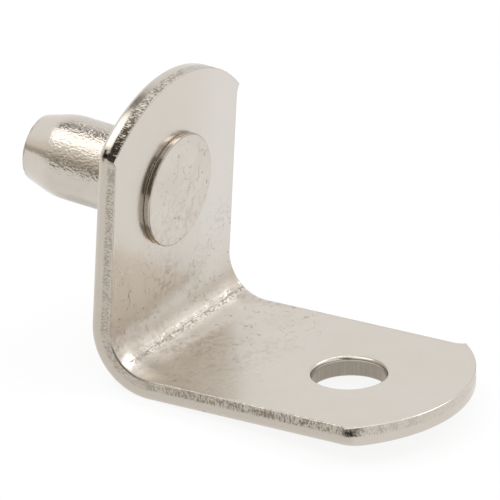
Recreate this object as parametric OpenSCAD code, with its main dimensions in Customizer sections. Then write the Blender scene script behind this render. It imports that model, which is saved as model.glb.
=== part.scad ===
// Shelf support: a steel strip folded to an L, with a pin riveted through its upright.
// The pin goes into a hole in a cabinet's side, and the shelf lies on the foot.
// Origin: on the pin's axis, in the plane of the upright's back. +X points out of the wall, +Z up.

/* [Strip] */
// Width of the steel strip
strip_w = 13.2; // [10:0.1:24]
// Thickness of the steel strip
sheet_t = 1.2; // [0.8:0.1:2.5]
// Rounding that shearing leaves along the edges of the outer face
edge_roll = 0.15; // [0.1:0.05:0.35]

/* [Bend] */
// Angle between the upright and the foot
bend_angle = 85.5; // [75:0.5:100]
// Radius on the inside of the bend
inside_r = 2.5; // [1:0.1:6]

/* [Upright] */
// Height of the pin's axis above the start of the bend
pin_above_bend = 6.5; // [4.5:0.1:20]
// Height of the upright's top above the pin's axis
top_above_pin = 7.1; // [6:0.1:15]
// Rise of the top's arc above its two corners
top_crown = 2.7; // [1:0.1:4.5]

/* [Foot] */
// Straight length of the foot, from the end of the bend to its tip
foot_flat = 16.7; // [13:0.1:40]
// Reach of the foot's end arc past its two corners
foot_crown = 3; // [1:0.1:4.5]
// Diameter of the screw hole
hole_d = 4.4; // [3:0.1:6]
// Distance from the foot's tip to the middle of the hole
hole_from_tip = 7.1; // [5:0.1:9]
// Rounding that the punch leaves on the upper edge of the hole
hole_roll = 0.2; // [0.05:0.05:0.4]

/* [Corners] */
// How far each corner stands proud of the strip's side
nib_proud = 0.25; // [0.05:0.05:0.4]
// Radius of the flare that leads out to a corner
nib_flare_r = 0.9; // [0.5:0.1:2]

/* [Pin] */
// Diameter of the pin
pin_d = 5; // [4.5:0.05:6.5]
// Length of the pin behind the upright
pin_len = 8.1; // [5:0.1:15]
// Length of the tapered nose
nose_len = 1.9; // [1:0.1:3]
// Diameter of the nose at its end
nose_d = 3.9; // [2.5:0.1:4.4]
// Rounding of the nose's end
nose_edge_r = 0.25; // [0.1:0.05:0.8]

/* [Rivet] */
// Width of the pin's shoulder against the upright's back
shoulder_w = 0.6; // [0.3:0.1:1]
// Gap between the rivet and its hole, on the diameter
rivet_clearance = 0.04; // [0.01:0.01:0.2]
// Diameter of the flat rivet head
head_d = 6.8; // [6.2:0.1:9]
// Height of the rivet head above the upright
head_h = 0.4; // [0.2:0.05:1]
// Rounding of the rivet head's rim
head_edge_r = 0.15; // [0.05:0.05:0.18]

/* [Hidden] */

$fn = 96;
strip_colour = [0.80, 0.78, 0.74];
pin_colour = [0.77, 0.75, 0.70];

// How far a cutter runs past the faces that it opens
overcut = 1;
// Steps in a cosine, which keep a small turn to six decimal places
cosine_steps = 1000000;

outside_r = inside_r + sheet_t;
foot_lift = 90 - bend_angle;
upright_flat = pin_above_bend + top_above_pin;

tenon_d = pin_d - 2 * shoulder_w;
head_top = sheet_t + head_h;
pin_body_len = pin_len - nose_len;
nose_slope = atan((pin_d - nose_d) / 2 / nose_len);
nose_tangent = nose_edge_r / tan((90 + nose_slope) / 2);

// Radius of an end arc that rises by crown between the strip's two sides
function arc_r(crown) = (pow(strip_w / 2, 2) + pow(crown, 2)) / (2 * crown);

// Half-length of a circle's chord at a distance from its middle
function half_chord(r, distance) = sqrt(r * r - distance * distance);

// Section of the strip, from its inner face at x = 0 to its outer face at x = sheet_t
module strip_section() {
    translate([0, -strip_w / 2])
        square([sheet_t - edge_roll, strip_w]);
    translate([0, edge_roll - strip_w / 2])
        square([sheet_t, strip_w - 2 * edge_roll]);
    for (side = [-1, 1])
        translate([sheet_t - edge_roll, side * (strip_w / 2 - edge_roll)])
            circle(edge_roll);
}

// Disc with the radius of an end arc, rolled at the rim of its outer face, z = 0
module end_disc(r) {
    rotate_extrude() {
        translate([0, edge_roll])
            square([r, sheet_t - edge_roll]);
        square([r - edge_roll, sheet_t]);
        translate([r - edge_roll, edge_roll])
            circle(edge_roll);
    }
}

// Sharp tip on the +Y corner of a leg, where the side flares out to the end arc
module corner_nib(leg_len, r) {
    arc_x = leg_len - r;
    tip_x = arc_x + half_chord(r, strip_w / 2 + nib_proud);
    flare_x = tip_x - half_chord(nib_flare_r, nib_flare_r - nib_proud);
    translate([0, 0, edge_roll])
        linear_extrude(sheet_t - edge_roll)
            intersection() {
                translate([arc_x, 0])
                    circle(r);
                difference() {
                    translate([flare_x, strip_w / 2 - nib_flare_r])
                        square([2 * nib_flare_r, 2 * nib_flare_r]);
                    translate([flare_x, strip_w / 2 + nib_flare_r])
                        circle(nib_flare_r);
                }
            }
}

// Straight leg along +X from the bend, outer face at z = 0, with an arc at its end
module leg(leg_len, crown) {
    r = arc_r(crown);
    arc_x = leg_len - r;
    intersection() {
        translate([0, 0, sheet_t])
            rotate([0, 90, 0])
                linear_extrude(leg_len)
                    strip_section();
        union() {
            translate([arc_x, 0, 0])
                end_disc(r);
            translate([min(arc_x, 0) - overcut, -strip_w, -overcut])
                cube([max(arc_x, 0) + overcut, 2 * strip_w, sheet_t + 2 * overcut]);
        }
    }
    for (side = [0, 1])
        mirror([0, side, 0])
            corner_nib(leg_len, r);
}

// Puts a leg's frame on the upright
module on_upright() {
    translate([outside_r, 0, -pin_above_bend])
        rotate([0, -90, 180])
            translate([0, 0, -outside_r])
                children();
}

// Small turn about the Y axis: its sine follows from a rounded cosine, so that nothing is stretched
module small_turn(angle) {
    cosine = round(cos(angle) * cosine_steps) / cosine_steps;
    sine = sign(angle) * sqrt(1 - cosine * cosine);
    multmatrix([[cosine, 0, -sine, 0], [0, 1, 0, 0], [sine, 0, cosine, 0], [0, 0, 0, 1]])
        children();
}

// Puts a leg's frame on the foot, which rises by foot_lift in three small turns
module on_foot() {
    translate([outside_r, 0, -pin_above_bend])
        small_turn(foot_lift / 3)
            small_turn(foot_lift / 3)
                small_turn(foot_lift / 3)
                    translate([0, 0, -outside_r])
                        children();
}

// Space behind the start of a leg, where the bend is
module behind_leg() {
    translate([-2 * outside_r, -strip_w, -overcut])
        cube([2 * outside_r, 2 * strip_w, 2 * outside_r + 2 * overcut]);
}

// Ring of strip, kept from the start of the upright round to the start of the foot
module bend() {
    intersection() {
        translate([outside_r, 0, -pin_above_bend])
            rotate([90, 0, 0])
                rotate_extrude()
                    translate([inside_r, 0])
                        strip_section();
        on_upright()
            behind_leg();
        on_foot()
            behind_leg();
    }
}

// Cutter for the screw hole, with a rounded upper edge
module screw_hole() {
    hole_r = hole_d / 2;
    rotate_extrude() {
        translate([0, -overcut])
            square([hole_r, sheet_t + 2 * overcut]);
        difference() {
            translate([0, sheet_t - hole_roll])
                square([hole_r + hole_roll, hole_roll + overcut]);
            translate([hole_r + hole_roll, sheet_t - hole_roll])
                circle(hole_roll);
        }
    }
}

// Half-section of the pin: nose at the bottom, rivet head at the top, y = 0 at the shoulder
module pin_profile() {
    polygon([
        [0, -pin_len],
        [nose_d / 2 - nose_tangent, -pin_len],
        [nose_d / 2 + nose_tangent * sin(nose_slope), nose_tangent * cos(nose_slope) - pin_len],
        [pin_d / 2, -pin_body_len],
        [pin_d / 2, 0],
        [tenon_d / 2, 0],
        [tenon_d / 2, sheet_t],
        [head_d / 2, sheet_t],
        [head_d / 2, head_top - head_edge_r],
        [head_d / 2 - head_edge_r, head_top],
        [0, head_top],
    ]);
    translate([nose_d / 2 - nose_tangent, nose_edge_r - pin_len])
        circle(nose_edge_r);
    translate([head_d / 2 - head_edge_r, head_top - head_edge_r])
        circle(head_edge_r);
}

// Folded strip with its rivet hole and screw hole
module bracket() {
    color(strip_colour)
        difference() {
            union() {
                on_upright()
                    leg(upright_flat, top_crown);
                bend();
                on_foot()
                    leg(foot_flat, foot_crown);
            }
            translate([-overcut, 0, 0])
                rotate([0, 90, 0])
                    cylinder(d = tenon_d + rivet_clearance, h = sheet_t + 2 * overcut);
            on_foot()
                translate([foot_flat - hole_from_tip, 0, 0])
                    screw_hole();
        }
}

// Headed pin, shouldered on the upright's back and riveted over on its front
module pin() {
    color(pin_colour)
        rotate([0, 90, 0])
            rotate_extrude()
                pin_profile();
}

bracket();
pin();
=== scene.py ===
"""Shelf support in satin nickel: a folded strip with sheared edges and a pin riveted through it."""
import math
from collections import namedtuple

import bmesh
import bpy
from mathutils import Matrix, Vector, noise


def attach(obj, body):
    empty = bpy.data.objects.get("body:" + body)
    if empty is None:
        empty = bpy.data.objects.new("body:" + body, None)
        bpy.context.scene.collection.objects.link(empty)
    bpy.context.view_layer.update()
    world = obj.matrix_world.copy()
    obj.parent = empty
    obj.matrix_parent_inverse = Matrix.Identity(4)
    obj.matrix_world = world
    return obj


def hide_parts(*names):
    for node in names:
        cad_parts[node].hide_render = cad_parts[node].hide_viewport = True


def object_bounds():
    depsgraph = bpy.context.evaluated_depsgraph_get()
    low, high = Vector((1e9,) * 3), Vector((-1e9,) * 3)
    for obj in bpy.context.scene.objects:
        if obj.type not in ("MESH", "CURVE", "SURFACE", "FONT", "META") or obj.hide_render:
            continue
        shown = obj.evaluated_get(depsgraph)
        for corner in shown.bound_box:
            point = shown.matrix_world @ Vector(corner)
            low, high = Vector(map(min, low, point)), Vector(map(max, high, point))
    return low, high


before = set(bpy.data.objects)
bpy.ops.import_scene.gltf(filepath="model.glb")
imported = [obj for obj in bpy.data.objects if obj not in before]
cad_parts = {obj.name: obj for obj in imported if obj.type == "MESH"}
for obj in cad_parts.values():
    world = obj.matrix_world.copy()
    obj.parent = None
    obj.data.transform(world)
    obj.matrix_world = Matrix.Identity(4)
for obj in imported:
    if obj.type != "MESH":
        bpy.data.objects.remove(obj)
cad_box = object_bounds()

MM = 0.001

# Sizes of the strip, in millimetres
STRIP_W = 13.2
HALF_W = STRIP_W / 2
SHEET_T = 1.2
EDGE_ROLL = 0.15
INSIDE_R = 2.5
BEND_SWEEP = math.radians(94.5)
UPRIGHT_FLAT = 13.6
TOP_CROWN = 2.7
FOOT_FLAT = 16.7
FOOT_CROWN = 3.0
NIB_PROUD = 0.25
NIB_FLARE_R = 0.9
HOLE_R = 2.2
HOLE_FROM_TIP = 7.1
HOLE_ROLL = 0.2

# Sizes of the pin, in millimetres
PIN_ABOVE_BEND = 6.5
PIN_R = 2.5
PIN_LEN = 8.1
NOSE_LEN = 1.9
NOSE_R = 1.95
NOSE_EDGE_R = 0.25
NOSE_BLEND = 0.6
TENON_R = 1.9
TENON_GAP = 0.02
HEAD_R = 3.4
HEAD_H = 0.4
HEAD_EDGE_R = 0.1
HEAD_ROOT_R = 0.1

# Places worked out from those sizes; u runs along the flat strip, with 0 where the bend begins
OUTSIDE_R = INSIDE_R + SHEET_T
MIDDLE_R = INSIDE_R + SHEET_T / 2
BEND_LEN = BEND_SWEEP * MIDDLE_R
HOLE_U = BEND_LEN + FOOT_FLAT - HOLE_FROM_TIP
RIVET_U = -PIN_ABOVE_BEND
TOP_CORNER_U = TOP_CROWN - UPRIGHT_FLAT
FOOT_CORNER_U = BEND_LEN + FOOT_FLAT - FOOT_CROWN
HEAD_TOP = SHEET_T + HEAD_H
BODY_X = NOSE_LEN - PIN_LEN

# Traces of shearing, in millimetres: height of the rolled edge, relief and waves of the torn band
ROLL_HEIGHT = 0.3
TORN_DEPTH = 0.03
TORN_WAVE = 0.05
TORN_INSET = 0.03
TORN_LEAN = 0.02
CORNER_BLEND = 0.9

# Top and height of the torn band, as shares of the thickness
TORN_TOP = 0.92
TORN_SPAN = 0.38

# Swell of the inner face that folding leaves beside the edges, in millimetres, and its share on the far side
SWELL_HEIGHT = 0.11
SWELL_DEPTH = 1.25
SWELL_WIDTH = 0.75
SWELL_U = 3.8
SWELL_REACH = 1.9
SWELL_EDGE = 0.05
FAR_SWELL = 0.4

# Wrinkles and one scored line on the pin's body, and dents of its head, in millimetres
WRINKLE_DEPTH = 0.003
WRINKLE_START = 0.8
SCORE_ANGLE = math.radians(110)
SCORE_SPREAD = math.radians(9)
SCORE_GAIN = 2
PEEN_DEPTH = 0.006
SKIN = 0.02

# Share of the pin's radius over which it counts as body
BODY_SHARE = 0.9

# Waves per millimetre of the torn band's relief and its edge, the head's dents and the body's wrinkles
TORN_GRAIN = 5
WAVE_GRAIN = 1.3
PEEN_GRAIN = 0.9
WRINKLE_ALONG = 2.4
WRINKLE_ROUND = 4.5

# Level at which the waves of the torn edge are taken from the noise, and the tearing where they begin
WAVE_LEVEL = 7.0
WAVE_FROM = 0.4

# Gap that keeps the floor clear of the bend
FLOOR_GAP = 0.02

# Fineness of the meshes: lengths in millimetres, numbers of steps, and the angle of a sharp edge
OUTLINE_STEP = 0.08
FAN_LENGTH = 0.4
HOLE_STEPS = 240
ROLL_STEPS = 7
TORN_ROWS = 8
BEND_STRIPS = 48
STRIPS_PAST_BEND = 8
SWELL_LINES = 24
SWELL_LINES_FROM = 0.2
SWELL_LINES_SPAN = 3
CUT_TOLERANCE = 1e-6
PIN_STEPS = 288
NOSE_RINGS = 6
NOSE_EDGE_STEPS = 10
BODY_RINGS = 100
HEAD_ROOT_STEPS = 5
HEAD_EDGE_STEPS = 8
HEAD_RINGS = 30
SHARP_ANGLE = math.radians(40)

# Camera at the photograph's angle, in degrees, millimetres and pixels of a 500-pixel frame
CAMERA_AZIMUTH = 30.459
CAMERA_ELEVATION = 25.773
CAMERA_ROLL = 2.801
CAMERA_DISTANCE = 518.87
CAMERA_TARGET = (6.479, -0.040, -2.413)
FOCAL_PX = 9000
FRAME_PX = 500
SENSOR_WIDTH = 36

# One ring of a wall round an outline: how far in, how high, and its share of tearing, wall and rounding
Ring = namedtuple("Ring", "inset height torn wall rounded")


def arc_radius(crown):
    """Radius of an end arc that rises by crown between the strip's sides."""
    return (HALF_W ** 2 + crown ** 2) / (2 * crown)


def spaced(start, end, length):
    """Evenly spaced values from start up to, not including, end."""
    count = max(2, math.ceil(length / OUTLINE_STEP))
    return [start + (end - start) * i / count for i in range(count)]


def leg_end(length, crown):
    """Outline of a leg in the flat, from its start on the +Y side round its end to the -Y side."""
    radius = arc_radius(crown)
    arc_x = length - radius
    tip_angle = math.asin((HALF_W + NIB_PROUD) / radius)
    tip_x = arc_x + radius * math.cos(tip_angle)
    flare_angle = math.acos(1 - NIB_PROUD / NIB_FLARE_R)
    flare_x = tip_x - NIB_FLARE_R * math.sin(flare_angle)
    side = [(x, HALF_W) for x in spaced(0, flare_x, flare_x)]
    for a in spaced(0, flare_angle, NIB_FLARE_R * flare_angle):
        side.append((flare_x + NIB_FLARE_R * math.sin(a), HALF_W + NIB_FLARE_R * (1 - math.cos(a))))
    arc = []
    for a in spaced(tip_angle, -tip_angle, 2 * radius * tip_angle):
        arc.append((arc_x + radius * math.cos(a), radius * math.sin(a)))
    tip = (tip_x, -HALF_W - NIB_PROUD)
    return side + arc + [tip] + [(x, -y) for x, y in reversed(side)]


def strip_outline():
    """Clockwise outline of the flat strip, as (u, y)."""
    bend = spaced(0, BEND_LEN, BEND_LEN)[1:]
    foot = [(BEND_LEN + x, y) for x, y in leg_end(FOOT_FLAT, FOOT_CROWN)]
    upright = [(-x, y) for x, y in reversed(leg_end(UPRIGHT_FLAT, TOP_CROWN))]
    near = [(u, -HALF_W) for u in reversed(bend)]
    far = [(u, HALF_W) for u in bend]
    return [Vector(point) for point in foot + near + upright + far]


def averaged(vectors, length):
    """Running mean of vectors along a closed outline, over length to either side."""
    count = len(vectors)
    reach = round(length / OUTLINE_STEP)
    means = []
    for i in range(count):
        total = Vector((0, 0))
        for k in range(-reach, reach + 1):
            total += vectors[(i + k) % count]
        means.append(total / (2 * reach + 1))
    return means


def rounded_corners(outline):
    """The outline without its tips, and with its corners rounded."""
    blunt = [Vector((p.x, min(max(p.y, -HALF_W), HALF_W))) for p in outline]
    return averaged(blunt, CORNER_BLEND)


def outward_normals(outline):
    """Outward directions along a clockwise outline, fanned out round its corners."""
    count = len(outline)
    normals = []
    for i in range(count):
        step = outline[(i + 1) % count] - outline[i - 1]
        normals.append(Vector((-step.y, step.x)).normalized())
    return [normal.normalized() for normal in averaged(normals, FAN_LENGTH)]


def circle_outline(u, radius):
    """Outline of a round hole and its outward directions, which point to the hole's middle."""
    angles = [2 * math.pi * i / HOLE_STEPS for i in range(HOLE_STEPS)]
    rays = [Vector((math.cos(a), math.sin(a))) for a in angles]
    return [Vector((u, 0)) + ray * radius for ray in rays], [-ray for ray in rays]


def quarter_round(radius, steps):
    """(inset, drop) pairs of a rounded edge, from the wall to the face."""
    angles = [math.pi / 2 * i / steps for i in range(steps + 1)]
    return [(radius * (1 - math.cos(a)), radius * math.sin(a)) for a in angles]


def sheared_profile():
    """Rings of a sheared edge, from the inner face to the outer: burr, torn band, smooth band and roll."""
    burr = [Ring(0.2, 0.0, 0, 0, 0), Ring(0.13, 0.004, 0, 0, 0), Ring(0.08, 0.014, 0.1, 0, 0),
            Ring(0.045, 0.006, 0.15, 0, 0), Ring(0.01, -0.024, 0.3, 0.3, 0), Ring(0.01, -0.04, 0.7, 1, 0)]
    rings = [ring._replace(height=SHEET_T + ring.height) for ring in burr]
    for i in range(TORN_ROWS):
        share = (i + 0.5) / TORN_ROWS
        height = SHEET_T * (TORN_TOP - TORN_SPAN * share)
        rings.append(Ring(TORN_INSET - TORN_LEAN * share, height, 1, 1, 0.5 * share))
    rings += [Ring(0.004, SHEET_T * 0.51, 0.3, 1, 0.8), Ring(0.0, SHEET_T * 0.42, 0.05, 1, 1)]
    for inset, drop in quarter_round(EDGE_ROLL, ROLL_STEPS):
        share = drop / EDGE_ROLL
        rings.append(Ring(inset, ROLL_HEIGHT * (1 - share), 0, 1 - share, 1))
    return rings


def punched_profile():
    """Rings of the punched screw hole, from the inner face to the outer: roll, smooth wall and tearing."""
    rings = []
    for inset, drop in reversed(quarter_round(HOLE_ROLL, ROLL_STEPS)):
        rings.append(Ring(inset, SHEET_T - HOLE_ROLL + drop, 0, 0, 0))
    wall = [(0.0, 0.76, 0), (0.0, 0.5, 0.05), (0.006, 0.3, 0.15), (0.012, 0.15, 0.2), (0.02, 0.06, 0.2)]
    rings += [Ring(inset, SHEET_T * share, torn, 1, 0) for inset, share, torn in wall]
    return rings + [Ring(0.05, 0.0, 0, 0, 0)]


def drilled_profile():
    """Rings of the plain hole that the rivet fills."""
    return [Ring(0.0, SHEET_T, 0, 0, 0), Ring(0.0, 0.0, 0, 0, 0)]


def tear_share(u, y):
    """How strongly the strip's edge is torn: most on the top's arc and the foot's sides."""
    to_side = abs(y) * 2 / STRIP_W
    if u > FOOT_CORNER_U:
        return 0.15 + 0.6 * to_side ** 3
    if u > BEND_LEN:
        return 0.5 + 0.35 * min((u - BEND_LEN) / 4, 1)
    if u > TOP_CORNER_U:
        return 0.48
    return 0.5 + 0.5 * to_side


def relief(place, octaves):
    """Fractal noise whose octaves are each twice as fine and half as strong as the one before."""
    return noise.fractal(place, 1.0, 2.0, octaves)


def add_wall(bm, zone_layer, outline, blunt, normals, profile, bore):
    """Adds the wall round an outline, and returns its edges on the inner and the outer face."""
    rows = []
    for ring in profile:
        row = []
        for sharp, soft, normal in zip(outline, blunt, normals):
            place = sharp.lerp(soft, ring.rounded)
            torn = ring.torn * (1 if bore else tear_share(*sharp))
            grain = relief(Vector((*place, ring.height)) * TORN_GRAIN, 4)
            wave = noise.noise(Vector((*place, WAVE_LEVEL)) * WAVE_GRAIN)
            place = place + normal * (TORN_DEPTH * torn * grain - ring.inset)
            height = ring.height + TORN_WAVE * wave * max(ring.torn - WAVE_FROM, 0)
            vert = bm.verts.new((*place, height))
            vert[zone_layer] = (torn, ring.wall, bore * ring.wall)
            row.append(vert)
        rows.append(row)
    count = len(outline)
    for upper, lower in zip(rows, rows[1:]):
        for i in range(count):
            j = (i + 1) % count
            bm.faces.new((upper[i], upper[j], lower[j], lower[i]))
    rims = []
    for row in (rows[0], rows[-1]):
        rims.append([bm.edges.get((row[i], row[(i + 1) % count])) for i in range(count)])
    return rims


def cut_across(bm, place, direction):
    """Cuts every face of the flat strip along a line."""
    geometry = bm.verts[:] + bm.edges[:] + bm.faces[:]
    bmesh.ops.bisect_plane(bm, geom=geometry, plane_co=place, plane_no=direction, dist=CUT_TOLERANCE)


def swell(u, y, height):
    """How far folding has raised the inner face beside the strip's edges, which fall off again."""
    depth = max(HALF_W - abs(y), 0)
    along = math.exp(-((u - SWELL_U) / SWELL_REACH) ** 4)
    rise = SWELL_HEIGHT * math.exp(-((depth - SWELL_DEPTH) / SWELL_WIDTH) ** 2)
    fall = SWELL_EDGE * max(1 - depth, 0) ** 2
    uneven = 1 if y < 0 else FAR_SWELL
    return uneven * along * (rise - fall) * (height / SHEET_T) ** 2


def fold(u, y, height):
    """Place in the part's frame of a point of the flat strip."""
    reach = OUTSIDE_R - height - swell(u, y, height)
    turn = min(max(u / MIDDLE_R, 0), BEND_SWEEP)
    rest = min(u, 0) + max(u - BEND_LEN, 0)
    out = Vector((-math.cos(turn), 0, -math.sin(turn)))
    along = Vector((math.sin(turn), 0, -math.cos(turn)))
    centre = Vector((OUTSIDE_R, y, -PIN_ABOVE_BEND))
    return (centre + out * reach + along * rest) * MM


def mesh_object(name, bm, material):
    """Object made from a bmesh, smooth but for its sharp edges, riding on the part's one body."""
    mesh = bpy.data.meshes.new(name)
    bmesh.ops.recalc_face_normals(bm, faces=bm.faces)
    bm.to_mesh(mesh)
    bm.free()
    mesh.shade_smooth()
    mesh.set_sharp_from_angle(angle=SHARP_ANGLE)
    mesh.materials.append(material)
    piece = bpy.data.objects.new(name, mesh)
    bpy.context.scene.collection.objects.link(piece)
    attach(piece, "root")
    return piece


def make_bracket(material):
    """Folded strip, meshed in the flat and then bent."""
    bm = bmesh.new()
    zone_layer = bm.verts.layers.float_vector.new("zone")
    flat_layer = bm.verts.layers.float_vector.new("flat")
    outline = strip_outline()
    rims = [add_wall(bm, zone_layer, outline, rounded_corners(outline), outward_normals(outline),
                     sheared_profile(), 0)]
    circle, inward = circle_outline(HOLE_U, HOLE_R)
    rims.append(add_wall(bm, zone_layer, circle, circle, inward, punched_profile(), 1))
    circle, inward = circle_outline(RIVET_U, TENON_R + TENON_GAP)
    rims.append(add_wall(bm, zone_layer, circle, circle, inward, drilled_profile(), 0))
    for face_rims in zip(*rims):
        bmesh.ops.triangle_fill(bm, edges=sum(face_rims, []), use_beauty=True, use_dissolve=False)
    for i in range(BEND_STRIPS + STRIPS_PAST_BEND + 1):
        cut_across(bm, (BEND_LEN * i / BEND_STRIPS, 0, 0), (1, 0, 0))
    for i in range(SWELL_LINES):
        y = HALF_W - SWELL_LINES_FROM - SWELL_LINES_SPAN * i / SWELL_LINES
        cut_across(bm, (0, y, 0), (0, 1, 0))
        cut_across(bm, (0, -y, 0), (0, 1, 0))
    for vert in bm.verts:
        vert[flat_layer] = vert.co
        vert.co = fold(*vert.co)
    bracket = mesh_object("folded_strip", bm, material)
    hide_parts("bracket")


def soft_drop(x, slope):
    """Drop of a cone that ends at x = 0, with a smooth passage to the cylinder beyond it."""
    if abs(x) < NOSE_BLEND:
        return slope * (NOSE_BLEND - x) ** 2 / (4 * NOSE_BLEND)
    return max(-x, 0) * slope


def pin_profile():
    """(x, radius) along the pin, from the middle of its nose to the middle of its head."""
    slope = math.atan((PIN_R - NOSE_R) / NOSE_LEN)
    nose_flat = NOSE_R - NOSE_EDGE_R / math.tan((math.pi / 2 + slope) / 2)
    points = [(-PIN_LEN, nose_flat * i / NOSE_RINGS) for i in range(NOSE_RINGS + 1)]
    for i in range(1, NOSE_EDGE_STEPS + 1):
        a = (math.pi / 2 - slope) * i / NOSE_EDGE_STEPS
        points.append((NOSE_EDGE_R * (1 - math.cos(a)) - PIN_LEN, nose_flat + NOSE_EDGE_R * math.sin(a)))
    cone_x = points[-1][0]
    for i in range(1, BODY_RINGS + 1):
        x = cone_x * (1 - i / BODY_RINGS)
        points.append((x, PIN_R - soft_drop(x - BODY_X, math.tan(slope))))
    points += [(0.0, TENON_R), (SHEET_T, TENON_R), (SHEET_T, HEAD_R - HEAD_ROOT_R)]
    for inset, rise in reversed(quarter_round(HEAD_ROOT_R, HEAD_ROOT_STEPS)):
        points.append((SHEET_T + HEAD_ROOT_R - rise, HEAD_R - inset))
    for inset, rise in quarter_round(HEAD_EDGE_R, HEAD_EDGE_STEPS):
        points.append((HEAD_TOP - HEAD_EDGE_R + rise, HEAD_R - inset))
    face_r = HEAD_R - HEAD_EDGE_R
    return points + [(HEAD_TOP, face_r * (1 - i / HEAD_RINGS)) for i in range(1, HEAD_RINGS + 1)]


def pin_wear(x, radius, angle):
    """Wrinkles of the pin's body, as growth of its radius, and dents of its head, as growth of x."""
    y = radius * math.cos(angle)
    z = radius * math.sin(angle)
    if x > HEAD_TOP - SKIN:
        return 0, PEEN_DEPTH * relief(Vector((0, y, z)) * PEEN_GRAIN, 3)
    if x > -SKIN or radius < PIN_R * BODY_SHARE:
        return 0, 0
    body = min(max((x + PIN_LEN - NOSE_LEN) / WRINKLE_START, 0), 1)
    scored = 1 + SCORE_GAIN * math.exp(-((angle - SCORE_ANGLE) / SCORE_SPREAD) ** 2)
    ripple = relief(Vector((x * WRINKLE_ALONG, y * WRINKLE_ROUND, z * WRINKLE_ROUND)), 3)
    return WRINKLE_DEPTH * body * scored * ripple, 0


def make_pin(material):
    """Pin turned about the X axis."""
    bm = bmesh.new()
    rings = []
    for x, radius in pin_profile():
        ring = []
        for i in range(PIN_STEPS if radius > 0 else 1):
            angle = 2 * math.pi * i / PIN_STEPS
            growth, lift = pin_wear(x, radius, angle)
            r = radius + growth
            ring.append(bm.verts.new(Vector((x + lift, r * math.cos(angle), r * math.sin(angle))) * MM))
        rings.append(ring)
    for one, other in zip(rings, rings[1:]):
        for i in range(PIN_STEPS):
            j = (i + 1) % PIN_STEPS
            corners = [one[i % len(one)], one[j % len(one)], other[j % len(other)], other[i % len(other)]]
            bm.faces.new(list(dict.fromkeys(corners)))
    pin = mesh_object("riveted_pin", bm, material)
    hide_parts("pin")


class Graph:
    """Node graph of a material, with one call for a node and its inputs."""

    def __init__(self, tree):
        self.tree = tree

    def feed(self, socket, value):
        """Sets a socket to a constant or links it to another node's output."""
        if isinstance(value, bpy.types.NodeSocket):
            self.tree.links.new(value, socket)
        else:
            socket.default_value = value

    def node(self, kind, inputs, **settings):
        """Adds a node; each input is a constant or another node's output."""
        made = self.tree.nodes.new("ShaderNode" + kind)
        for name, value in settings.items():
            setattr(made, name, value)
        for key, value in inputs.items():
            self.feed(made.inputs[key], value)
        return made

    def math(self, operation, one, other=0.0):
        """Result of one operation; those on a single value leave other unused."""
        return self.node("Math", {0: one, 1: other}, operation=operation).outputs[0]

    def times(self, first, *others):
        """Product of two or more values."""
        for other in others:
            first = self.math("MULTIPLY", first, other)
        return first

    def plus(self, one, other):
        return self.math("ADD", one, other)

    def minus(self, one, other):
        return self.math("SUBTRACT", one, other)

    def larger(self, one, other):
        return self.math("MAXIMUM", one, other)

    def scaled(self, value, factor, offset):
        """Value times factor, plus offset."""
        inputs = {0: value, 1: factor, 2: offset}
        return self.node("Math", inputs, operation="MULTIPLY_ADD").outputs[0]

    def step(self, value, low, high):
        """Smooth step from 0 at low to 1 at high."""
        inputs = {"Value": value, "From Min": low, "From Max": high}
        return self.node("MapRange", inputs, interpolation_type="SMOOTHSTEP").outputs[0]

    def noise(self, place, stretch, detail):
        """Noise over a place, with a number of waves per unit along each axis."""
        stretched = self.node("VectorMath", {0: place, 1: stretch}, operation="MULTIPLY").outputs[0]
        return self.node("TexNoise", {"Vector": stretched, "Scale": 1.0, "Detail": detail}).outputs[0]

    def patches(self, place, stretch, detail, low, high):
        """Patches where a noise is high: none under low, full over high."""
        return self.step(self.noise(place, stretch, detail), low, high)

    def hairs(self, place, stretch, width, share):
        """Short curved scratches: thin level lines of one noise, kept where another is high."""
        level = self.math("ABSOLUTE", self.minus(self.noise(place, stretch, 1.0), 0.5))
        line = self.step(level, width, width * 0.3)
        return self.times(line, self.patches(place, [1.1 * s for s in stretch], 1.0, share, share + 0.06))

    def colour(self, factor, one, other):
        """Mix of two colours: one at factor 0, other at factor 1."""
        inputs = {"Factor": factor, "A": one, "B": other}
        mixed = self.node("Mix", {}, data_type="RGBA")
        for socket in mixed.inputs:
            if socket.enabled and socket.name in inputs:
                self.feed(socket, inputs[socket.name])
        return [socket for socket in mixed.outputs if socket.enabled][0]

    def bump(self, height, depth, normal=None):
        """Bumps of a depth in millimetres."""
        inputs = {"Height": height, "Strength": 1.0, "Distance": depth * MM}
        if normal:
            inputs["Normal"] = normal
        return self.node("Bump", inputs).outputs[0]


def metal(name):
    """New material of plain metal, its graph and its shader node."""
    material = bpy.data.materials.new(name)
    material.use_nodes = True
    shader = material.node_tree.nodes["Principled BSDF"]
    shader.inputs["Metallic"].default_value = 1
    return material, Graph(material.node_tree), shader


def connect(graph, shader, colour, roughness, normal):
    """Joins the three worked-out inputs to a shader."""
    graph.tree.links.new(colour, shader.inputs["Base Color"])
    graph.tree.links.new(roughness, shader.inputs["Roughness"])
    graph.tree.links.new(normal, shader.inputs["Normal"])


# Colours of the metal: bare plate, plate with a warm tinge or with painted light, grime and painted shade,
# black painted shade, the torn band, its tears, and the painted shade of the hole's wall
PLATE = (0.64, 0.594, 0.535, 1)
PLATE_WARM = (0.605, 0.548, 0.482, 1)
PLATE_PAINTED_LIGHT = (0.678, 0.641, 0.598, 1)
GRIME_AND_SHADE = (0.16, 0.135, 0.11, 1)
PAINTED_SHADE_BLACK = (0.03, 0.025, 0.02, 1)
TORN = (0.49, 0.44, 0.365, 1)
TEAR = (0.09, 0.066, 0.036, 1)
BORE_SHADE = (0.268, 0.235, 0.19, 1)

# Rub marks beside the fold: place along the flat strip, place across it, and radius, in millimetres
RUBS = [(-0.9, -0.6, 2.6), (5.2, -1.0, 2.8)]

# Line where the strip was folded, along the flat strip, in millimetres
FOLD_MARK_U = 2.85
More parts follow.
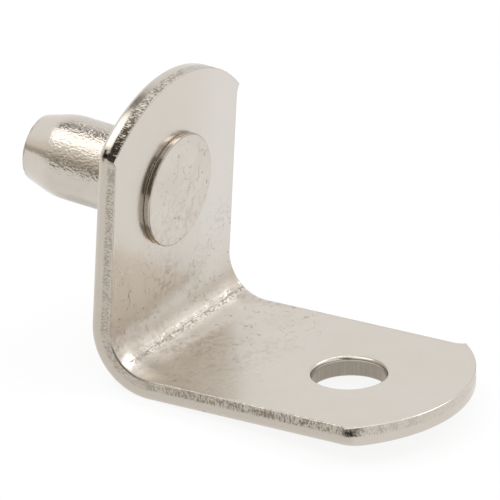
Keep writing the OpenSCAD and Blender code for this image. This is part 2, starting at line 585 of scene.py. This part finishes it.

# Ranges over which something sets in, in millimetres: first the place where there is none of it
# Along the flat strip: wear beside the bend, painted light up the upright, a painted shadow along the bend's
# edges
WEAR_UP = (-5.0, -1.0)
WEAR_OUT = (BEND_LEN + 7.5, BEND_LEN + 1.0)
PAINTED_LIGHT_UP = (1.0, -2.5)
BEND_SHADOW_FROM = (0.6, 1.8)
BEND_SHADOW_TO = (BEND_LEN + 1.0, BEND_LEN - 0.6)
FOOT_END = (FOOT_CORNER_U - 0.2, FOOT_CORNER_U + 0.2)

# Across the strip: painted light, near corner with denser tears and painted shade, tearing of the arc, end
# of the fold, pressed edges and edges with painted shade
PAINTED_LIGHT_ACROSS = (0.5, 5.0)
CORNER_ACROSS = (-3.0, -6.4)
TEAR_ACROSS = (2.0, -1.0)
FOLD_END = (0.35 - HALF_W, 0.95 - HALF_W)
PRESSED_EDGE = (4.4, 6.2)
CORNER_SHADE_EDGE = (HALF_W - 0.7, HALF_W - 0.4)
BEND_SHADOW_EDGE = (HALF_W - 0.1, HALF_W - 0.06)
BEND_SHADOW_HEIGHT = (SHEET_T - 0.1, SHEET_T - 0.05)

# From the fold's line: the two sides of its smooth mark, and of the pits beside it
MARK_SIDES = (-0.35, -0.05), (0.2, 0.06)
PIT_SIDES = (0.08, 0.18), (0.7, 0.25)

# On the pin: rivet head, body, soil and painted shade round the head's edge, darker edge of the nose, and
# painted shade under the body
HEAD_FROM = (SHEET_T, SHEET_T + 0.1)
BODY_FROM = (BODY_X - 0.6, BODY_X + 0.9)
BODY_TO = (0.1, 0.0)
SOIL_DOWN = (1.5, -2.0)
HEAD_RIM_SHADE = (HEAD_R - 0.16, HEAD_R - 0.04)
NOSE_RIM_FROM = (0.3 - PIN_LEN, 0.1 - PIN_LEN)
NOSE_RIM_R = (1.6, 1.8)
UNDERSIDE_SHADE_DOWN = (-1.0, -1.75)
UNDERSIDE_SHADE_FROM = (-6.4, -4.4)


def strip_material():
    """Nickel over rolled strip: faint rolling lines, wear beside the fold, torn edges, painted shade on the
    corners, along the bend's edges and in the hole, and painted light up the upright.
    """
    material, g, shader = metal("strip nickel")
    flat = g.node("Attribute", {}, attribute_name="flat").outputs["Vector"]
    zone = g.node("Attribute", {}, attribute_name="zone").outputs["Vector"]
    along, across, height = g.node("SeparateXYZ", {0: flat}).outputs
    torn, wall, bore = g.node("SeparateXYZ", {0: zone}).outputs
    from_middle = g.math("ABSOLUTE", across)
    on_face = g.minus(1.0, wall)
    near_bend = g.times(g.step(along, *WEAR_UP), g.step(along, *WEAR_OUT))
    marked = g.times(near_bend, on_face)

    # Scratches, dots and soiled rub marks beside the fold
    rolled = g.noise(flat, (0.25, 7.0, 7.0), 2.0)
    cloud = g.noise(flat, (0.5, 0.5, 0.5), 3.0)
    hairs = g.larger(g.hairs(flat, (1.5, 1.0, 1.0), 0.014, 0.57),
                     g.hairs(flat, (0.9, 1.7, 1.0), 0.016, 0.58))
    dots = g.patches(flat, (4.0, 4.0, 4.0), 2.0, 0.69, 0.77)
    marks = g.times(g.larger(hairs, dots), marked)
    rubbed = g.times(g.patches(flat, (0.35, 0.45, 0.4), 1.0, 0.48, 0.66), 0.6)
    for u, y, radius in RUBS:
        away = g.node("VectorMath", {0: flat, 1: (u, y, SHEET_T)}, operation="DISTANCE").outputs["Value"]
        rubbed = g.larger(rubbed, g.step(away, radius, 0.0))
    soil = g.times(g.patches(flat, (3.5, 2.5, 3.0), 4.0, 0.42, 0.68), rubbed, marked)

    # Tears in the torn band, densest at the near corner of the top
    past_top = g.minus(TOP_CORNER_U, along)
    on_top = g.step(past_top, -0.2, 0.2)
    on_ends = g.larger(on_top, g.step(along, *FOOT_END))
    near_corner = g.times(on_top, g.step(across, *CORNER_ACROSS))
    grain = g.noise(flat, (10.0, 10.0, 5.0), 4.0)
    blotch = g.noise(flat, (1.8, 1.8, 1.8), 2.0)
    speckle = g.plus(g.plus(grain, g.times(blotch, 0.4)), g.times(near_corner, 0.14))
    pitted = g.step(speckle, 0.63, 0.83)
    spared = g.scaled(g.step(across, *TEAR_ACROSS), 0.6, -0.35)
    tearing = g.plus(g.times(on_top, spared), 0.7)
    torn_dark = g.times(torn, g.plus(g.times(pitted, tearing), 0.12))
    streak = g.noise(flat, (9.0, 9.0, 0.8), 2.0)

    # Painted shade: black patches on the corners of the top and the foot, and a painted shadow along the
    # bend's edges
    ragged = g.times(g.noise(flat, (5.0, 5.0, 5.0), 3.0), 0.8)
    from_foot = g.math("ABSOLUTE", g.minus(along, FOOT_CORNER_U - 0.1))
    top_corner_shade = g.times(g.step(past_top, -0.3, -0.2), g.step(g.plus(past_top, ragged), 0.62, 0.42),
                    g.step(wall, 0.6, 1.0))
    foot_corner_shade = g.times(g.step(g.plus(from_foot, ragged), 0.95, 0.55), g.step(torn, 0.2, 0.7),
                       g.scaled(pitted, 0.4, 0.6))
    corners = g.times(g.larger(top_corner_shade, foot_corner_shade), g.step(from_middle, *CORNER_SHADE_EDGE))
    painted_shade = g.larger(corners, g.times(near_corner, near_corner, pitted, torn))
    # Painted shadow along the inner edges of the bend
    bend_rim_shadow = g.times(g.step(along, *BEND_SHADOW_FROM), g.step(along, *BEND_SHADOW_TO), g.step(from_middle, *BEND_SHADOW_EDGE),
                  g.step(height, *BEND_SHADOW_HEIGHT))

    # Smooth mark of the fold, with pits beside it, which both end short of the near edge
    wander = g.scaled(g.noise(flat, (0.6, 0.6, 0.6), 2.0), 0.3, -0.15)
    from_fold = g.plus(g.minus(along, FOLD_MARK_U), wander)
    creasing = g.times(on_face, g.step(across, *FOLD_END))
    fold_mark = g.times(*[g.step(from_fold, *side) for side in MARK_SIDES], creasing)
    pits = g.times(*[g.step(from_fold, *side) for side in PIT_SIDES], creasing,
                   g.patches(flat, (6.0, 4.0, 4.0), 3.0, 0.46, 0.58))

    warm = g.times(g.step(cloud, 0.35, 0.7), g.scaled(near_bend, 0.4, 0.25))
    painted_light = g.times(g.step(across, *PAINTED_LIGHT_ACROSS), g.step(along, *PAINTED_LIGHT_UP))
    dull = g.times(wall, g.scaled(on_ends, -0.4, 0.58))
    colour = g.colour(warm, PLATE, PLATE_WARM)
    # Painted light: the far side of the upright is mixed towards a paler plate colour
    colour = g.colour(painted_light, colour, PLATE_PAINTED_LIGHT)
    colour = g.colour(g.times(marks, 0.55), colour, GRIME_AND_SHADE)
    colour = g.colour(g.times(soil, 0.42), colour, GRIME_AND_SHADE)
    colour = g.colour(g.times(pits, 0.6), colour, GRIME_AND_SHADE)
    colour = g.colour(dull, colour, TORN)
    colour = g.colour(torn_dark, colour, TEAR)
    # Painted shade: black on the corners of the top and the foot, and a painted shadow along the bend's
    # edges
    colour = g.colour(g.larger(painted_shade, g.times(bend_rim_shadow, 0.7)), colour, PAINTED_SHADE_BLACK)
    # Painted shade: the wall of the hole is darkened, with streaks
    colour = g.colour(g.times(bore, g.scaled(streak, 0.5, 0.55)), colour, BORE_SHADE)

    pressed = g.times(near_bend, g.step(from_middle, *PRESSED_EDGE))
    roughness = g.plus(g.scaled(rolled, 0.1, 0.18), g.times(near_bend, 0.09))
    roughness = g.plus(roughness, g.times(marks, 0.2))
    roughness = g.minus(roughness, g.times(fold_mark, 0.13))
    roughness = g.minus(roughness, g.times(pressed, 0.02))

    wrinkle = g.noise(flat, (3.0, 2.0, 1.0), 3.0)
    creased = g.plus(fold_mark, g.times(near_bend, 0.12))
    normal = g.bump(rolled, 0.0007)
    normal = g.bump(g.times(wrinkle, creased), 0.04, normal)
    normal = g.bump(marks, -0.004, normal)
    normal = g.bump(pits, -0.01, normal)
    normal = g.bump(g.times(grain, torn), 0.08, normal)
    connect(g, shader, colour, roughness, normal)
    return material


def pin_material():
    """Nickel over an upset pin: crinkled body, darker edge of the nose, scratches and soil on the rivet
    head, painted shade round the head's edge and under the body.
    """
    material, g, shader = metal("pin nickel")
    place = g.node("TexCoord", {}).outputs["Object"]
    place = g.node("VectorMath", {0: place, 1: [1 / MM] * 3}, operation="MULTIPLY").outputs[0]
    along, side, rise = g.node("SeparateXYZ", {0: place}).outputs
    radius = g.math("SQRT", g.plus(g.times(side, side), g.times(rise, rise)))
    on_head = g.step(along, *HEAD_FROM)
    on_body = g.times(g.step(along, *BODY_FROM), g.step(along, *BODY_TO))

    grain = g.noise(place, (1.0, 6.0, 6.0), 3.0)
    crinkle = g.noise(place, (5.0, 7.0, 7.0), 2.0)
    cloud = g.noise(place, (0.6, 0.6, 0.6), 3.0)
    hairs = g.larger(g.hairs(place, (1.0, 1.3, 0.8), 0.014, 0.55),
                     g.hairs(place, (1.0, 0.7, 1.7), 0.02, 0.56))
    dots = g.patches(place, (3.2, 3.2, 3.2), 2.0, 0.67, 0.75)
    marks = g.times(g.larger(hairs, dots), g.step(cloud, 0.32, 0.52), on_head)
    soil = g.times(g.patches(place, (3.0, 3.0, 3.0), 4.0, 0.44, 0.68), on_head, g.step(rise, *SOIL_DOWN))
    # Painted shade: the edge and wall of the rivet head are darkened
    head_rim_shade = g.times(g.step(radius, *HEAD_RIM_SHADE), on_head)
    patchy = g.patches(place, (3.0, 3.0, 3.0), 3.0, 0.4, 0.6)
    nose_rim = g.times(g.step(along, *NOSE_RIM_FROM), g.step(radius, *NOSE_RIM_R), patchy)
    # Painted shade: the underside of the body near the head is darkened
    underside_shade = g.times(g.step(rise, *UNDERSIDE_SHADE_DOWN), g.step(along, *UNDERSIDE_SHADE_FROM), on_body)

    colour = g.colour(g.step(cloud, 0.3, 0.7), PLATE, PLATE_WARM)
    # Scratches and soil, and painted shade round the head's edge and under the body, all darken towards one
    # colour
    dirt_and_shade = [(marks, 0.7), (soil, 0.17), (head_rim_shade, 0.34), (nose_rim, 0.6), (on_body, 0.1), (underside_shade, 0.45)]
    for mark, strength in dirt_and_shade:
        colour = g.colour(g.times(mark, strength), colour, GRIME_AND_SHADE)
    roughness = g.scaled(grain, 0.08, 0.11)
    normal = g.bump(g.times(crinkle, g.scaled(on_body, 0.9, 0.1)), 0.04)
    normal = g.bump(marks, -0.003, normal)
    connect(g, shader, colour, roughness, normal)
    return material


def make_camera():
    """Camera with the photograph's viewing angle and lens."""
    azimuth, elevation, roll = map(math.radians, (CAMERA_AZIMUTH, CAMERA_ELEVATION, CAMERA_ROLL))
    level = math.cos(elevation)
    back = Vector((math.sin(azimuth) * level, -math.cos(azimuth) * level, math.sin(elevation)))
    right = Vector((math.cos(azimuth), math.sin(azimuth), 0))
    up = back.cross(right)
    turned_right = right * math.cos(roll) + up * math.sin(roll)
    turned_up = up * math.cos(roll) - right * math.sin(roll)
    place = (Vector(CAMERA_TARGET) + back * CAMERA_DISTANCE) * MM
    data = bpy.data.cameras.new("camera")
    data.sensor_width = SENSOR_WIDTH
    data.lens = FOCAL_PX * SENSOR_WIDTH / FRAME_PX
    data.clip_start = 0.01
    data.clip_end = 20
    camera = bpy.data.objects.new("camera", data)
    axes = Matrix((turned_right, turned_up, back)).transposed().to_4x4()
    camera.matrix_world = Matrix.Translation(place) @ axes
    bpy.context.scene.collection.objects.link(camera)
    bpy.context.scene.camera = camera


def make_world():
    """White surroundings."""
    world = bpy.data.worlds.new("studio")
    bpy.context.scene.world = world
    world.use_nodes = True
    background = world.node_tree.nodes["Background"]
    background.inputs["Color"].default_value = (1, 1, 1, 1)
    background.inputs["Strength"].default_value = 1


def facing(direction, distance, level):
    """Placement at a distance from the part, turned to it, with its width as close to level as it goes."""
    away = Vector(direction).normalized()
    width = Vector(level)
    width = (width - away * width.dot(away)).normalized()
    axes = Matrix((width, away.cross(width), away)).transposed().to_4x4()
    return Matrix.Translation(away * distance) @ axes


# Level direction of most lamps and flags, and distance of the lamps, in metres
ACROSS = (1, 0, 0)
LAMP_DISTANCE = 0.4

# Soft lamps: name, direction from the part, level direction, width and height in metres, and radiance
LAMPS = [
    ("overhead lamp", (-0.457, -0.15, 0.876), ACROSS, 0.3, 0.26, 1.15),
    ("far lamp", (0.29, 0.776, 0.56), (-0.88, 0, 0.48), 0.03, 0.2, 0.2),
    ("corner lamp", (0.35, 0.56, 0.75), ACROSS, 0.16, 0.13, 2.6),
    ("side lamp", (-0.2, 0.5, 0.84), ACROSS, 0.1, 0.1, 2.4),
    ("fill lamp", (0.55, 0.776, 0.31), ACROSS, 0.12, 0.1, 0.45),
]

# Cards that the metal mirrors: name, direction from the part, distance in metres, level direction, sideways
# shift, width and height in metres, and either one colour or colours at shares of the height
FLAGS = [
    ("front flag", (0, -0.857, 0.515), 0.5, ACROSS, 0.165, 1.17, 0.625,
     [(0, (0.28, 0.25, 0.2)), (0.08, (0.26, 0.23, 0.185)), (0.2, (0.34, 0.31, 0.25)),
      (0.32, (0.55, 0.51, 0.45)), (0.55, (0.9, 0.86, 0.8)), (0.75, (0.97, 0.93, 0.87)),
      (1, (1.6, 1.56, 1.5))]),
    ("left flag", (0, -0.857, 0.515), 0.5, ACROSS, -0.8, 0.76, 0.625,
     [(0, (0.5, 0.46, 0.4)), (0.25, (0.5, 0.46, 0.4)), (0.5, (0.9, 0.86, 0.8)), (1, (1, 1, 1))]),
    ("low flag", (-0.4, -0.9165, 0), 0.1, ACROSS, 0.0225, 0.095, 0.02,
     [(0, (0.24, 0.21, 0.165)), (0.6, (0.24, 0.21, 0.165)), (1, (0.28, 0.25, 0.2))]),
    ("camera flag", (0, -0.766, 0.643), 0.45, ACROSS, 0.27, 0.3, 0.7, (0.13, 0.11, 0.09, 1)),
    ("top flag", (-0.457, 0.4, 0.79), 0.42, ACROSS, -0.04, 0.16, 0.26,
     [(0, (0.4, 0.38, 0.35)), (0.15, (0.07, 0.06, 0.05)), (0.42, (0.08, 0.07, 0.06)),
      (0.68, (0.8, 0.78, 0.75)), (1, (1, 1, 1))]),
    ("back flag", (-0.1, 0.776, 0.62), 0.4, (0, 0.62, -0.776), 0, 0.14, 0.26,
     [(0, (1, 1, 1)), (0.3, (0.8, 0.78, 0.76)), (0.7, (0.8, 0.78, 0.76)), (1, (1, 1, 1))]),
    ("right flag", (0.63, 0.776, 0.057), 0.07, (0.78, -0.63, 0), 0, 0.12, 0.028,
     [(0, (0.72, 0.67, 0.61)), (0.35, (0.78, 0.73, 0.68)), (1, (1, 1, 1))]),
]

# Floor: width in metres, share of it that glows white to the camera and in the metal, and its paint
FLOOR_WIDTH = 4
FLOOR_GLOW = 0.85
FLOOR_PAINT = (0.9, 0.9, 0.9, 1)


def make_lamp(name, direction, level, width, height, radiance):
    """Soft rectangular lamp turned to the part."""
    data = bpy.data.lights.new(name, "AREA")
    data.shape = "RECTANGLE"
    data.size = width
    data.size_y = height
    data.energy = radiance * math.pi * width * height
    lamp = bpy.data.objects.new(name, data)
    lamp.matrix_world = facing(direction, LAMP_DISTANCE, level)
    bpy.context.scene.collection.objects.link(lamp)


def stage_plane(name, width, height, placement, material):
    """Plane that belongs to the studio."""
    mesh = bpy.data.meshes.new(name)
    x, y = width / 2, height / 2
    mesh.from_pydata([(-x, -y, 0), (x, -y, 0), (x, y, 0), (-x, y, 0)], [], [(0, 1, 2, 3)])
    mesh.materials.append(material)
    plane = bpy.data.objects.new(name, mesh)
    plane.matrix_world = placement
    bpy.context.scene.collection.objects.link(plane)
    return plane


def stage_material(name):
    """New material of the studio, and its graph."""
    material = bpy.data.materials.new(name)
    material.use_nodes = True
    return material, Graph(material.node_tree)


def show(graph, surface):
    """Joins a surface shader to the material's output."""
    graph.tree.links.new(surface, graph.tree.nodes["Material Output"].inputs["Surface"])


def shaded(g, height, shades):
    """Colour that changes over a card's height; shades are (share of the height, colour)."""
    place = g.node("TexCoord", {}).outputs["Object"]
    rise = g.node("SeparateXYZ", {0: place}).outputs[1]
    rise = g.node("MapRange", {"Value": rise, "From Min": -height / 2, "From Max": height / 2}).outputs[0]
    ramp = g.node("ValToRGB", {"Fac": rise})
    ramp.color_ramp.interpolation = "EASE"
    stops = ramp.color_ramp.elements
    stops.remove(stops[1])
    stops[0].position = shades[0][0]
    stops[0].color = (*shades[0][1], 1)
    for share, colour in shades[1:]:
        stops.new(share).color = (*colour, 1)
    return ramp.outputs[0]


def make_flag(name, direction, distance, level, shift, width, height, shades):
    """Card that only the metal mirrors."""
    material, g = stage_material(name)
    colour = shaded(g, height, shades) if isinstance(shades, list) else shades
    show(g, g.node("Emission", {"Color": colour, "Strength": 1.0}).outputs[0])
    placement = facing(direction, distance, level) @ Matrix.Translation((shift, 0, 0))
    flag = stage_plane(name, width, height, placement, material)
    flag.visible_camera = False
    flag.visible_diffuse = False
    flag.visible_shadow = False


def make_floor():
    """White floor under the bend, which keeps a little of the part's shadow."""
    material, g = stage_material("floor")
    rays = g.node("LightPath", {}).outputs
    seen = g.plus(g.plus(rays["Is Camera Ray"], rays["Is Glossy Ray"]), rays["Is Transmission Ray"])
    paint = g.node("BsdfDiffuse", {"Color": FLOOR_PAINT}).outputs[0]
    glow = g.node("Emission", {"Color": (1, 1, 1, 1), "Strength": 1.0}).outputs[0]
    show(g, g.node("MixShader", {0: g.times(seen, FLOOR_GLOW), 1: paint, 2: glow}).outputs[0])
    placement = Matrix.Translation((0, 0, cad_box[0][2] - FLOOR_GAP * MM))
    stage_plane("floor", FLOOR_WIDTH, FLOOR_WIDTH, placement, material)


bpy.context.scene.view_settings.view_transform = "Standard"
make_camera()
make_world()
make_floor()
for lamp in LAMPS:
    make_lamp(*lamp)
for flag in FLAGS:
    make_flag(*flag)
make_bracket(strip_material())
make_pin(pin_material())
